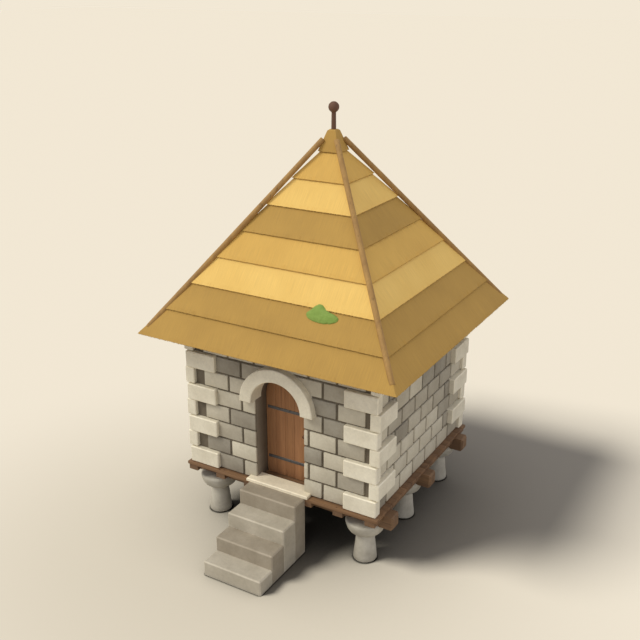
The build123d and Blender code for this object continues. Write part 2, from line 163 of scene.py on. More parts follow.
# Painted shade: the floor is painted darker still under the deck, and in a thin line where a stone or step
# stands on it.
open_sky = put(tree, "AmbientOcclusion", {"Distance": underneath}, samples=12).outputs["AO"]
mild_shade = spread(tree, open_sky, 0, 1, 0.4, 1.0)
deep_shade = spread(tree, open_sky, 0, 0.56, 0.2, 1.0, interpolation_type="SMOOTHSTEP")
touching = put(tree, "AmbientOcclusion", {"Distance": at_the_foot}, samples=8).outputs["AO"]
touch_shade = spread(tree, touching, 0.62, 0.88, 0.2, 1.0)
under_shade = reckon(tree, "MULTIPLY", mild_shade, deep_shade)
painted_contact_shade = reckon(tree, "MULTIPLY", under_shade, touch_shade)
tree.links.new(shaded(tree, dimmed, painted_contact_shade), shader.inputs["Base Color"])
shader.inputs["Roughness"].default_value = 0.95
shader.inputs["Specular IOR Level"].default_value = 0.0
floor.data.materials.append(material)
floor_alone = bpy.data.collections.new("floor_alone")
floor_alone.objects.link(floor)
lamps["floor_lamp"].light_linking.receiver_collection = floor_alone

# ---------------------------------------------------------------- staddle stones
# Nine mushroom-shaped stones keep the floor off the ground and rats out of the grain. Each is a
# tapered round base with a flared cap set on it, hewn and rubbed smooth from a grey limestone.


def settle(piece):
    """Leaves a piece selected alone, with its place in its mesh and its object at the origin."""
    if bpy.context.object and bpy.context.object.mode == "EDIT":
        bpy.ops.object.mode_set(mode="OBJECT")
    bpy.ops.object.select_all(action="DESELECT")
    piece.select_set(True)
    bpy.context.view_layer.objects.active = piece
    bpy.ops.object.transform_apply(location=True, rotation=True, scale=True)
    return piece


def apply_modifier(piece, kind, **fields):
    """Adds one modifier with its settings and applies it."""
    settle(piece)
    modifier = piece.modifiers.new(kind.lower(), kind)
    for field, value in fields.items():
        setattr(modifier, field, value)
    bpy.ops.object.modifier_apply(modifier=modifier.name)


def join(pieces, name):
    """Joins several pieces into the first and names the whole."""
    settle(pieces[0])
    for piece in pieces:
        piece.select_set(True)
    bpy.ops.object.join()
    pieces[0].name = name
    pieces[0].data.name = name
    return pieces[0]


def copy_of(piece, place):
    """A copy with its own mesh, moved by a matrix."""
    twin = piece.copy()
    twin.data = piece.data.copy()
    bpy.context.scene.collection.objects.link(twin)
    twin.data.transform(place)
    return twin


def edit_all():
    """Opens the active piece in edit mode with the whole of it selected."""
    bpy.ops.object.mode_set(mode="EDIT")
    bpy.ops.mesh.select_all(action="SELECT")


def turn_faces_out():
    """Turns every face of the piece in edit mode outwards."""
    bpy.ops.mesh.select_all(action="SELECT")
    bpy.ops.mesh.normals_make_consistent(inside=False)


def round_form(name, rings, sides):
    """A round upright form: one disc, extruded and resized through rings of height and radius."""
    bpy.ops.object.select_all(action="DESELECT")
    level, radius = rings[0]
    bpy.ops.mesh.primitive_circle_add(
        vertices=sides, radius=radius, fill_type="NGON", location=(0, 0, level)
    )
    form = settle(bpy.context.object)
    form.name = name
    edit_all()
    for next_level, next_radius in rings[1:]:
        bpy.ops.mesh.extrude_region_move(TRANSFORM_OT_translate={"value": (0, 0, next_level - level)})
        scale = next_radius / radius
        bpy.ops.transform.resize(value=(scale, scale, 1), center_override=(0, 0, next_level))
        level, radius = next_level, next_radius
    turn_faces_out()
    return settle(form)


def shade_soft(piece, angle=35):
    """Shades a piece smooth, except over edges sharper than the angle in degrees."""
    settle(piece)
    bpy.ops.object.shade_smooth_by_angle(angle=math.radians(angle))


def dress(piece, material):
    """Gives a piece one finish."""
    piece.data.materials.clear()
    piece.data.materials.append(material)


def noise(tree, place, **settings):
    """Soft random patches, from 0 to 1."""
    return put(tree, "TexNoise", {"Vector": place} | settings).outputs["Fac"]


def shared_surface(name, **inputs):
    """Opens a surface that several finishes share, with its inputs by name and kind."""
    group = bpy.data.node_groups.new(name, "ShaderNodeTree")
    for socket, kind in inputs.items():
        group.interface.new_socket(name=socket, in_out="INPUT", socket_type="NodeSocket" + kind)
    for socket, kind in (("Color", "Color"), ("Height", "Float"), ("Roughness", "Float")):
        group.interface.new_socket(name=socket, in_out="OUTPUT", socket_type="NodeSocket" + kind)
    return group, group.nodes.new("NodeGroupInput").outputs


def give_out(group, colour, height, roughness):
    """Ends a shared surface with the three things that it gives a finish."""
    result = group.nodes.new("NodeGroupOutput").inputs
    for socket, value in (("Color", colour), ("Height", height), ("Roughness", roughness)):
        group.links.new(value, result[socket])


stone_group, given = shared_surface(
    "stone_surface", Place="Vector", Pale="Color", Dark="Color", Grain="Float", Worn="Float"
)
stains = noise(stone_group, given["Place"], Scale=3.2, Detail=5.0, Roughness=0.6)
grain = noise(stone_group, given["Place"], Scale=given["Grain"], Detail=8.0, Roughness=0.65)
pits = put(stone_group, "TexVoronoi", {"Vector": given["Place"], "Scale": 46.0})
pit_mask = spread(stone_group, pits.outputs["Distance"], 0.05, 0.22)
stain_mask = spread(stone_group, stains, 0.32, 0.66)
body = blend(stone_group, stain_mask, given["Dark"], given["Pale"])
speckle = spread(stone_group, grain, 0.25, 0.75, 0.92, 1.07)
pitted = spread(stone_group, pit_mask, 0, 1, 0.93, 1.0)
# Painted highlight: the bevels of squared stones are painted up to a sixth paler.
bevel_highlight = spread(stone_group, given["Worn"], 0, 1, 1.0, 1.17)
shade = reckon(stone_group, "MULTIPLY", reckon(stone_group, "MULTIPLY", speckle, pitted), bevel_highlight)
give_out(
    stone_group,
    colour=shaded(stone_group, body, shade),
    height=reckon(stone_group, "ADD", grain, pit_mask),
    roughness=spread(stone_group, grain, 0, 1, 0.78, 0.96),
)


def surface(tree, shader, group, inputs, depth):
    """Feeds a shader's colour, roughness and bump from one of the shared surfaces."""
    figure = put(tree, "Group", inputs, node_tree=group).outputs
    tree.links.new(figure["Color"], shader.inputs["Base Color"])
    tree.links.new(figure["Roughness"], shader.inputs["Roughness"])
    bump = put(tree, "Bump", {"Height": figure["Height"], "Strength": 0.6, "Distance": depth})
    tree.links.new(bump.outputs[0], shader.inputs["Normal"])


def off_square(tree):
    """1 on the bevels of a squared stone, and 0 on its six flat sides, to place a painted highlight."""
    normal = put(tree, "NewGeometry").outputs["Normal"]
    turned = put(tree, "VectorMath", {0: normal}, operation="ABSOLUTE").outputs[0]
    x, y, z = put(tree, "SeparateXYZ", {0: turned}).outputs
    widest = reckon(tree, "MAXIMUM", reckon(tree, "MAXIMUM", x, y), z)
    return spread(tree, widest, 0.97, 0.80)


def stone_material(name, pale, dark, grain=34.0, depth=0.003, squared=True):
    """Stone mottled between two tints. A squared stone has a painted highlight along its bevels."""
    material, tree, shader, place = blank_material(name)
    inputs = {"Place": place, "Pale": tint(*pale), "Dark": tint(*dark), "Grain": grain}
    if squared:
        inputs["Worn"] = off_square(tree)
    surface(tree, shader, stone_group, inputs, depth)
    return material


staddle_finish = stone_material("staddle_stone", (196, 190, 176), (168, 161, 146), squared=False)
staddle_spacing = 1.25
staddle_sides = 48
seat_middle, seat_size = (0, 0, 0.68), (0.8, 0.208, 0.096)  # the seat that takes a bearer
# Heights and radii, from the foot of the stone up.
base_rings = [(0.003, 0.150), (0.008, 0.160), (0.022, 0.1675), (0.08, 0.162), (0.16, 0.153)]
base_rings += [(0.24, 0.1445), (0.32, 0.136), (0.395, 0.1275), (0.41, 0.122)]
cap_rings = [(0.41, 0.124), (0.416, 0.137), (0.445, 0.186), (0.484, 0.236), (0.52, 0.258)]
cap_rings += [(0.565, 0.274), (0.60, 0.2825), (0.622, 0.284), (0.638, 0.278), (0.648, 0.266), (0.65, 0.252)]
one_base = round_form("one_base", base_rings, staddle_sides)
one_cap = round_form("one_cap", cap_rings, staddle_sides)
bpy.ops.mesh.primitive_cube_add(size=1, location=seat_middle, scale=seat_size)
seat = settle(bpy.context.object)
apply_modifier(one_cap, "BOOLEAN", object=seat, operation="DIFFERENCE", solver="EXACT")
bpy.data.objects.remove(seat)
hewn = bpy.data.textures.new("hewn_stone", "CLOUDS")
hewn.noise_scale = 0.16
bases = []
caps = []
for x in (-staddle_spacing, 0, staddle_spacing):
    for y in (-staddle_spacing, 0, staddle_spacing):
        for pattern, stones in ((one_base, bases), (one_cap, caps)):
            stone = copy_of(pattern, Matrix.Translation((x, y, 0)))
            apply_modifier(stone, "DISPLACE", texture=hewn, texture_coords="LOCAL", strength=0.007)
            stones.append(stone)
bpy.data.objects.remove(one_base)
bpy.data.objects.remove(one_cap)
staddle_pillars = join(bases, "staddle_pillars")
staddle_heads = join(caps, "staddle_heads")
for piece, node in ((staddle_pillars, "staddle_bases"), (staddle_heads, "staddle_caps")):
    dress(piece, staddle_finish)
    shade_soft(piece, 40)
    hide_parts(node)
    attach(piece, "building")

# ---------------------------------------------------------------- floor timbers
# Three adzed oak bearers lie in the seats of the caps, and seven joists are let into their tops.
# The oak has gone warm brown, with the grain raised along each timber.

timber_group, given = shared_surface("timber_surface", Along="Vector", Pale="Color", Dark="Color")
bands = noise(timber_group, given["Along"], Scale=0.35, Detail=3.0, Distortion=0.6)
fibres = noise(timber_group, given["Along"], Scale=2.4, Detail=6.0, Roughness=0.7)
checks = noise(timber_group, given["Along"], Scale=1.1, Detail=2.0)
check_mask = spread(timber_group, checks, 0.30, 0.36)
band_mask = spread(timber_group, bands, 0.3, 0.7)
body = blend(timber_group, band_mask, given["Dark"], given["Pale"])
fibre_shade = spread(timber_group, fibres, 0.3, 0.7, 0.84, 1.1)
check_shade = spread(timber_group, check_mask, 0, 1, 0.72, 1.0)
give_out(
    timber_group,
    colour=shaded(timber_group, body, reckon(timber_group, "MULTIPLY", fibre_shade, check_shade)),
    height=reckon(timber_group, "ADD", fibres, check_mask),
    roughness=spread(timber_group, fibres, 0, 1, 0.62, 0.86),
)


def grain_along(tree, place, along, across=20.0, lengthways=1.2):
    """The place on a piece, squeezed so that a figure is drawn out along X, Y or Z."""
    stretch = [lengthways if axis == along else across for axis in "XYZ"]
    return put(tree, "Mapping", {"Vector": place, "Scale": stretch}).outputs[0]


def timber_material(name, pale, dark, along, depth=0.002):
    """Timber whose grain runs along X, Y or Z."""
    material, tree, shader, place = blank_material(name)
    inputs = {"Along": grain_along(tree, place, along), "Pale": tint(*pale), "Dark": tint(*dark)}
    surface(tree, shader, timber_group, inputs, depth)
    return material


bearer_finish = timber_material("bearer_oak", (133, 102, 72), (102, 77, 56), "X")
joist_finish = timber_material("joist_oak", (126, 95, 67), (98, 74, 54), "Y")
for node in ("bearer_front", "bearer_middle", "bearer_back"):
    dress(nodes[node], bearer_finish)
dress(nodes["floor_joists"], joist_finish)

# ---------------------------------------------------------------- deck boards
# Twenty thick boards, laid side by side across the joists and pegged down with oak pegs, carry the
# walls. Their ends and the outer boards show as a brown edge round the foot of the walls.


def new_piece(name, mesh):
    """A piece made of a mesh, selected alone."""
    bpy.ops.object.select_all(action="DESELECT")
    piece = bpy.data.objects.new(name, mesh)
    bpy.context.scene.collection.objects.link(piece)
    piece.select_set(True)
    bpy.context.view_layer.objects.active = piece
    return piece


def start_blocks(name):
    """Opens a new empty piece in edit mode, ready for blocks."""
    piece = new_piece(name, bpy.data.meshes.new(name))
    bpy.ops.object.mode_set(mode="EDIT")
    return piece


def add_block(low, high):
    """Adds one upright block between two corners to the piece in edit mode."""
    low, high = Vector(low), Vector(high)
    bpy.ops.mesh.primitive_cube_add(size=1, location=(low + high) / 2, scale=high - low)


def give_tones(piece, tones):
    """Writes a tone on each face of a piece, for its finish to read."""
    piece.data.attributes.new("tone", "FLOAT", "FACE").data.foreach_set("value", tones)


def round_edges(width):
    """Rounds every edge of the active piece."""
    edit_all()
    bpy.ops.mesh.bevel(offset=width, segments=2, affect="EDGES")
    bpy.ops.object.mode_set(mode="OBJECT")


def finish_blocks(piece, tones, wobble, bevel, seed):
    """Gives the six faces of each block its tone, skews its corners a little, and rounds its edges."""
    bpy.ops.object.mode_set(mode="OBJECT")
    give_tones(piece, [tone for tone in tones for _ in range(6)])
    random.seed(seed)
    for vertex in piece.data.vertices:
        vertex.co += Vector([random.uniform(-wobble, wobble) for _ in range(3)])
    round_edges(bevel)
    shade_soft(piece, 38)


def toned_colours(tree, dark, middle, pale):
    """A colour picked by each block's own tone."""
    tone = put(tree, "Attribute", attribute_name="tone").outputs["Fac"]
    ramp = put(tree, "ValToRGB", {"Fac": tone})
    ramp.color_ramp.elements[0].color = tint(*dark)
    ramp.color_ramp.elements[1].color = tint(*pale)
    ramp.color_ramp.elements.new(0.5).color = tint(*middle)
    return ramp.outputs["Color"]


deck_low, deck_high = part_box("floor_deck")
board_count = 20
board_width = (deck_high.y - deck_low.y) / board_count
half_board_gap = 0.0015
uneven_end = 0.006
deck_boards = start_blocks("deck_boards")
random.seed(11)
tones = []
for number in range(board_count):
    left = deck_low.x + random.uniform(0, uneven_end)
    right = deck_high.x - random.uniform(0, uneven_end)
    front = deck_low.y + number * board_width + half_board_gap
    back = deck_low.y + (number + 1) * board_width - half_board_gap
    add_block((left, front, deck_low.z), (right, back, deck_high.z))
    tones.append(random.random())
finish_blocks(deck_boards, tones, wobble=0.0012, bevel=0.006, seed=12)
material, tree, shader, place = blank_material("deck_oak")
pale = toned_colours(tree, (120, 89, 62), (130, 97, 66), (141, 106, 72))
dark = toned_colours(tree, (94, 69, 48), (101, 74, 51), (111, 82, 58))
inputs = {"Along": grain_along(tree, place, "X"), "Pale": pale, "Dark": dark}
surface(tree, shader, timber_group, inputs, 0.002)
dress(deck_boards, material)
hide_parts("floor_deck")
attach(deck_boards, "building")

peg_row = 1.54
front_pegs = [(x, -peg_row) for x in (-0.985, 0.985)]
back_pegs = [(x, peg_row) for x in (-0.985, -0.492, 0, 0.492, 0.985)]
one_peg = round_form("one_peg", [(-0.03, 0.010), (0.002, 0.010), (0.004, 0.008)], 8)
pegs = []
for x, y in front_pegs + back_pegs:
    for shift in (-0.035, 0.035):
        pegs.append(copy_of(one_peg, Matrix.Translation((x + shift, y + shift / 4, deck_high.z))))
bpy.data.objects.remove(one_peg)
deck_pegs = join(pegs, "deck_pegs")
dress(deck_pegs, timber_material("peg_oak", (112, 76, 54), (84, 56, 41), "Z"))
shade_soft(deck_pegs)
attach(deck_pegs, "building")

# ---------------------------------------------------------------- wall cores
# The walls are solid stone and lime mortar, 300 mm thick. Outside, only the dark weathered mortar of
# the core shows, sunk between the face stones; the room inside is plastered and limewashed.

room_half = 1.19
doorway_half = 0.4
mortar_face = 1.462
material, tree, shader, place = blank_material("wall_mortar")
x, y, _ = put(tree, "SeparateXYZ", {0: place}).outputs
across = reckon(tree, "ABSOLUTE", x)
back = reckon(tree, "ABSOLUTE", y)
inside = reckon(tree, "LESS_THAN", reckon(tree, "MAXIMUM", across, back), room_half)
by_door = reckon(tree, "LESS_THAN", across, doorway_half + 0.005)
off_face = reckon(tree, "LESS_THAN", back, mortar_face)
reveal = reckon(tree, "MULTIPLY", by_door, off_face)
# Painted shade: the doorway's sides are painted darker the deeper they go towards the leaf.
leaf_shade = spread(tree, back, 1.44, 1.27)  # the doorway's sides darken towards the leaf
mortar = {}
for which, joint, jamb, jamb_in_shade, limewash in (
    ("Pale", (116, 106, 90), (148, 139, 125), (106, 92, 76), (226, 220, 204)),
    ("Dark", (92, 83, 69), (134, 125, 111), (92, 79, 63), (206, 199, 181)),
):
    doorway_side = blend(tree, leaf_shade, tint(*jamb), tint(*jamb_in_shade))
    outside = blend(tree, reveal, tint(*joint), doorway_side)
    mortar[which] = blend(tree, inside, outside, tint(*limewash))
surface(tree, shader, stone_group, {"Place": place, "Grain": 60.0} | mortar, 0.004)
front_cores = ("front_wall_left", "front_wall_right", "front_wall_over_door")
for node in front_cores + ("left_wall", "right_wall", "back_wall"):
    dress(nodes[node], material)

# ---------------------------------------------------------------- face stones
# Squared blocks of grey and buff limestone are bedded on the core in nine courses, every second
# course shifted by half a block. Their edges are rubbed round, and no two are quite the same colour.

face_finish, tree, shader, place = blank_material("face_stone")
pale = toned_colours(tree, (158, 151, 137), (187, 179, 161), (212, 204, 184))
dark = toned_colours(tree, (138, 130, 116), (171, 162, 144), (197, 188, 167))
surface(tree, shader, stone_group, {"Place": place, "Pale": pale, "Dark": dark, "Grain": 30.0}, 0.004)

course_height = 0.257
floor_top = deck_high.z
half_bed = 0.0145
half_joint = 0.018
stone_back, stone_front = 1.455, 1.494
joint_places = {
    "front": ([-0.620, -0.182, 0.256, 0.694], [-1.276, -0.838, -0.400, 0.036, 0.474, 0.912, 1.350]),
    "side": ([-1.122, -0.692, -0.262, 0.168, 0.598, 1.028], [-0.900, -0.470, -0.040, 0.390, 0.820]),
}
corner_stone_ends = {"front": (1.042, 1.422), "side": (1.410, 1.011)}
narrowest = {"front": 0.14, "side": 0.06}
# The front's stones from its left to its right, course by course from the floor up, one letter for
# each stone: L is the lightest, then P for pale, M for middling, N for not quite dark, and D dark.
front_tones = ["DMPP", "DLLPN", "MMDL", "PDLLM", "PLPD", "LPMMDP", "DNMPN", "LLMLMP", "MLDMP"]
tone_values = {"L": 1.0, "P": 0.75, "M": 0.5, "N": 0.3, "D": 0.06}
other_tones = (0.06, 0.35, 0.5, 0.75, 1.0)
tone_play = 0.07
courses_below_arch, all_courses = 5, 9


def course_spans(kind, turn):
    """Where the stones of one course start and end between the corner stones."""
    limit = corner_stone_ends[kind][turn]
    edges = [(-limit, 0)] + [(place, half_joint) for place in joint_places[kind][turn]] + [(limit, 0)]
    spans = [(low + gap, high - next_gap) for (low, gap), (high, next_gap) in zip(edges, edges[1:])]
    return [(start, end) for start, end in spans if end - start > narrowest[kind]]


def cut_at_doorway(spans):
    """The same stones cut off, or drawn out, flush with the doorway, and none left in it."""
    reach = 0.03
    cut = []
    for start, end in spans:
        if start < -doorway_half:
            cut.append((start, -doorway_half if end > -doorway_half - reach else end))
        if end > doorway_half:
            cut.append((max(start, doorway_half), end))
    return cut


def lay_side(name, side, courses, seed):
    """Lays the face stones of one side of the building in some of its courses."""
    random.seed(seed)
    piece = start_blocks(name)
    kind = "front" if side in ("front", "back") else "side"
    outward = -1 if side in ("front", "left") else 1
    near, far = sorted((stone_back * outward, stone_front * outward))
    tones = []
    for course in courses:
        spans = course_spans(kind, course % 2)
        if side == "front" and course < courses_below_arch:
            spans = cut_at_doorway(spans)
        bottom = floor_top + course * course_height + half_bed
        top = bottom + course_height - 2 * half_bed
        for number, (start, end) in enumerate(spans):
            if kind == "front":
                add_block((start, near, bottom), (end, far, top))
            else:
                add_block((near, start, bottom), (far, end, top))
            if side == "front":
                tone = tone_values[front_tones[course][number]]
            else:
                tone = random.choice(other_tones)
            tones.append(min(max(tone + random.uniform(-tone_play, tone_play), 0), 1))
    finish_blocks(piece, tones, wobble=0.0016, bevel=0.010, seed=seed + 1)
    return piece


lower_front = lay_side("lower_front", "front", range(courses_below_arch), 20)
upper_front = lay_side("upper_front", "front", range(courses_below_arch, all_courses), 30)
arch_radius, arch_middle, arch_depth = 0.494, (0, -1.5, 2.14), 0.4
lying_along_y = (math.pi / 2, 0, 0)
bpy.ops.object.select_all(action="DESELECT")
bpy.ops.mesh.primitive_cylinder_add(
    vertices=64, radius=arch_radius, depth=arch_depth, location=arch_middle, rotation=lying_along_y
)
arch_space = settle(bpy.context.object)
apply_modifier(upper_front, "BOOLEAN", object=arch_space, operation="DIFFERENCE", solver="EXACT")
bpy.data.objects.remove(arch_space)
front_stones = join([lower_front, upper_front], "front_face_stones")
left_stones = lay_side("left_face_stones", "left", range(all_courses), 40)
right_stones = lay_side("right_face_stones", "right", range(all_courses), 57)
back_stones = lay_side("back_face_stones", "back", range(all_courses), 60)
for piece in (front_stones, left_stones, right_stones, back_stones):
    dress(piece, face_finish)
    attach(piece, "building")

# ---------------------------------------------------------------- dressed stones
# The corner stones, the arch over the doorway and the threshold are of a paler stone, sawn square
# and bevelled. They stand proud of the walls; the corner stones turn the corner in alternate courses.

dressed_finish = stone_material("dressed_stone", (236, 228, 207), (220, 211, 189), 26.0)
quoins = ("quoins_front_left", "quoins_front_right", "quoins_back_left", "quoins_back_right")
for node in quoins + ("door_arch",):
    dress(nodes[node], dressed_finish)
dress(nodes["threshold"], stone_material("threshold_stone", (243, 231, 206), (228, 216, 190), 26.0))

# ---------------------------------------------------------------- steps
# Four solid blocks, each as high as its own tread, stand one behind the other on the ground. Two
# are of buff stone and two of a greyer one, all with worn, rounded front edges.

pale_step = stone_material("pale_step_stone", (193, 184, 166), (173, 164, 146), 24.0, 0.004)
grey_step = stone_material("grey_step_stone", (166, 155, 137), (148, 137, 119), 24.0, 0.004)
for number in (1, 2, 3, 4):
    dress(nodes[f"step_{number}"], pale_step if number % 2 else grey_step)

# ---------------------------------------------------------------- door leaf
# The door is five oak planks, held by the iron straps inside and the bands outside. Its head is cut
# to the arch, and a little play is left all round so that it swings free.


def merged_copy(node, name):
    """A copy of a CAD node with its loose corners merged."""
    piece = new_piece(name, nodes[node].data.copy())
    edit_all()
    bpy.ops.mesh.remove_doubles(threshold=0.00002)
    bpy.ops.mesh.dissolve_limited(angle_limit=math.radians(1))
    bpy.ops.object.mode_set(mode="OBJECT")
    return piece


def keep_between(piece, low, high):
    """Cuts a piece off at two places along X and closes the cuts."""
    settle(piece)
    edit_all()
    bpy.ops.mesh.bisect(plane_co=(low, 0, 0), plane_no=(1, 0, 0), use_fill=True, clear_inner=True)
    bpy.ops.mesh.select_all(action="SELECT")
    bpy.ops.mesh.bisect(plane_co=(high, 0, 0), plane_no=(1, 0, 0), use_fill=True, clear_outer=True)
    bpy.ops.object.mode_set(mode="OBJECT")


leaf_low, leaf_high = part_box("door_leaf")
leaf_copy = merged_copy("door_leaf", "leaf_copy")
plank_tones = (0.2, 0.55, 0.4, 0.9, 0.7)
plank_width = (leaf_high.x - leaf_low.x) / len(plank_tones)
half_plank_gap = 0.0008
planks = []
for number, tone in enumerate(plank_tones):
    plank = copy_of(leaf_copy, Matrix.Identity(4))
    start = leaf_low.x + number * plank_width
    keep_between(plank, start + half_plank_gap, start + plank_width - half_plank_gap)
    round_edges(0.003)
    give_tones(plank, [tone] * len(plank.data.polygons))
    planks.append(plank)
bpy.data.objects.remove(leaf_copy)
door_planks = join(planks, "door_planks")
shade_soft(door_planks, 30)
material, tree, shader, place = blank_material("door_oak")
pale = toned_colours(tree, (163, 116, 74), (170, 120, 78), (177, 126, 83))
dark = toned_colours(tree, (137, 95, 61), (145, 100, 64), (152, 105, 69))
inputs = {"Along": grain_along(tree, place, "Z", 22.0, 1.3), "Pale": pale, "Dark": dark}
surface(tree, shader, timber_group, inputs, 0.0015)
dress(door_planks, material)
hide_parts("door_leaf")
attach(door_planks, "door")

# ---------------------------------------------------------------- door ironwork
# Two forged bands cross the face of the door, each held by five round-headed nails. A turned knob
# pulls it shut, and inside two straps end in eyes that hang on pins driven into the wall.

iron_group, given = shared_surface("iron_surface", Place="Vector", Clean="Color", Rust="Color")
dents = put(iron_group, "TexVoronoi", {"Vector": given["Place"], "Scale": 70.0}, feature="SMOOTH_F1")
blooms = noise(iron_group, given["Place"], Scale=26.0, Detail=6.0, Roughness=0.7)
bloom_mask = spread(iron_group, blooms, 0.54, 0.72)
give_out(
    iron_group,
    colour=blend(iron_group, bloom_mask, given["Clean"], given["Rust"]),
    height=reckon(iron_group, "ADD", dents.outputs["Distance"], blooms),
    roughness=spread(iron_group, bloom_mask, 0, 1, 0.46, 0.82),
)


def iron_material(name, clean, rust, metallic):
    """Forged iron, hammered all over, with a bloom of rust."""
    material, tree, shader, place = blank_material(name)
    surface(tree, shader, iron_group, {"Place": place, "Clean": tint(*clean), "Rust": tint(*rust)}, 0.001)
    shader.inputs["Metallic"].default_value = metallic
    return material


def facing_out(piece, x, y, z):
    """Turns an upright round form to point out of the doorway, towards -Y, and moves it to its place."""
    return copy_of(piece, Matrix.Translation((x, y, z)) @ Matrix.Rotation(math.pi / 2, 4, "X"))


iron_finish = iron_material("wrought_iron", (92, 92, 94), (96, 76, 64), 0.6)
for node in ("door_bands", "hinge_straps", "hinge_pintles"):
    dress(nodes[node], iron_finish)
bands_low, bands_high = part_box("door_bands")
half_band = 0.022
nail_spacing = 0.156
nail_rings = [(-0.004, 0.011), (0.0015, 0.011), (0.005, 0.0085), (0.0068, 0.0045)]
one_nail = round_form("one_nail", nail_rings, 12)
nails = []
for z in (bands_low.z + half_band, bands_high.z - half_band):
    for number in (-2, -1, 0, 1, 2):
        nails.append(facing_out(one_nail, nail_spacing * number, bands_low.y, z))
band_nails = join(nails, "band_nails")
bpy.data.objects.remove(one_nail)
knob_low, knob_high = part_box("door_knob")
knob_rings = [(-0.002, 0.019), (0.003, 0.019), (0.005, 0.012), (0.017, 0.0105), (0.022, 0.015)]
knob_rings += [(0.028, 0.0225), (0.036, 0.0255), (0.042, 0.0240), (0.048, 0.0185), (0.0515, 0.010)]
knob_form = round_form("knob_form", knob_rings, 32)
knob_middle = (knob_low + knob_high) / 2
turned_knob = facing_out(knob_form, knob_middle.x, knob_high.y, knob_middle.z)
turned_knob.name = "turned_knob"
bpy.data.objects.remove(knob_form)
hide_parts("door_knob")
browned_finish = iron_material("browned_iron", (104, 66, 42), (84, 48, 28), 0.3)
for piece, finish in ((band_nails, iron_finish), (turned_knob, browned_finish)):
    dress(piece, finish)
    shade_soft(piece, 50)
    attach(piece, "door")

# ---------------------------------------------------------------- roof timbers
# Oak plates lie on the wall heads. Hip rafters and common rafters, notched over the plates, rise to
# a square post under the crown, which also holds the foot of the finial.

roof_finish = timber_material("roof_oak", (132, 98, 66), (102, 73, 50), "Z", 0.003)
plate_finish = timber_material("plate_oak", (132, 96, 66), (104, 74, 51), "X", 0.003)
for node in ("common_rafters", "hip_rafters", "apex_post"):
    dress(nodes[node], roof_finish)
dress(nodes["wall_plate"], plate_finish)

# ---------------------------------------------------------------- thatch
# Eight courses of straw are laid up the roof, each course's butt ends standing proud over the one
# below as a thin shadowed lip. Older and newer straw give bands of ochre, amber and yellow.

straw_group, given = shared_surface(
    "straw_surface", Place="Vector", Facing="Vector", Pale="Color", Dark="Color"
)
at = put(straw_group, "SeparateXYZ", {0: given["Place"]}).outputs
facing = put(straw_group, "SeparateXYZ", {0: given["Facing"]}).outputs
facing_x = reckon(straw_group, "ABSOLUTE", facing[0])
facing_y = reckon(straw_group, "ABSOLUTE", facing[1])
on_side = reckon(straw_group, "GREATER_THAN", facing_x, facing_y)
along_eave = put(straw_group, "Mix", {"Factor": on_side, 2: at[0], 3: at[1]}, data_type="FLOAT")
straws_a_metre, shades_a_metre = 110.0, 4.0
across_straws = reckon(straw_group, "MULTIPLY", along_eave.outputs[0], straws_a_metre)
up_slope = reckon(straw_group, "MULTIPLY", at[2], shades_a_metre)
strand_place = put(straw_group, "CombineXYZ", {0: across_straws, 1: on_side, 2: up_slope}).outputs[0]
strands = noise(straw_group, strand_place, Scale=1.0, Detail=3.0, Roughness=0.6)
drifts = noise(straw_group, given["Place"], Scale=1.6, Detail=3.0)
butts = put(straw_group, "TexVoronoi", {"Vector": given["Place"], "Scale": straws_a_metre})
# Painted shade: faces turned downwards are painted darker and warmer, in a dotted pattern of cut straw
# ends.
shaded_underside = spread(straw_group, facing[2], -0.2, -0.7)
butt_ends_and_shade = spread(straw_group, butts.outputs["Distance"], 0, 0.6, 0.92, 0.5)
strand_shade = spread(straw_group, strands, 0.3, 0.7, 0.9, 1.07)
shade = put(straw_group, "Mix", {"Factor": shaded_underside, 2: strand_shade, 3: butt_ends_and_shade}, data_type="FLOAT")
body = blend(straw_group, spread(straw_group, drifts, 0.35, 0.65), given["Dark"], given["Pale"])
toned = shaded(straw_group, body, shade.outputs[0])
warm_shade_tint = blend(straw_group, shaded_underside, (1, 1, 1, 1), (1, 0.94, 0.78, 1))
give_out(
    straw_group,
    colour=put(straw_group, "VectorMath", {0: toned, 1: warm_shade_tint}, operation="MULTIPLY").outputs[0],
    height=strands,
    roughness=spread(straw_group, strands, 0, 1, 0.72, 0.9),
)


def straw_material(name, pale, dark):
    """Straw that runs up the slope it lies on, with painted shade underneath, dotted with its cut ends."""
    material, tree, shader, place = blank_material(name)
    facing = put(tree, "NewGeometry").outputs["Normal"]
    inputs = {"Place": place, "Facing": facing, "Pale": tint(*pale), "Dark": tint(*dark)}
    surface(tree, shader, straw_group, inputs, 0.004)
    return material


ochre_straw = straw_material("ochre_straw", (185, 146, 71), (177, 139, 67))
amber_straw = straw_material("amber_straw", (217, 174, 88), (210, 167, 83))
yellow_straw = straw_material("yellow_straw", (237, 197, 110), (231, 190, 103))
course_straw = [ochre_straw, amber_straw, yellow_straw] * 2 + [ochre_straw] * 2
straw_slots = ["thatch_ochre", "thatch_orange", "thatch_yellow"] * 2 + ["thatch_ochre"] * 2
for number, straw in enumerate(course_straw, 1):
    dress(nodes[f"thatch_course_{number}"], straw)

slope_up = Vector((0, 0.646, 0.763))
slope_out = Vector((0, -0.763, 0.646))
straw_sides, straw_radius, straw_length = 5, 0.0036, 0.06
straw_spacing, straw_rise = 0.011, 0.024
hip_gap = 0.03
corners_each = 2 * straw_sides


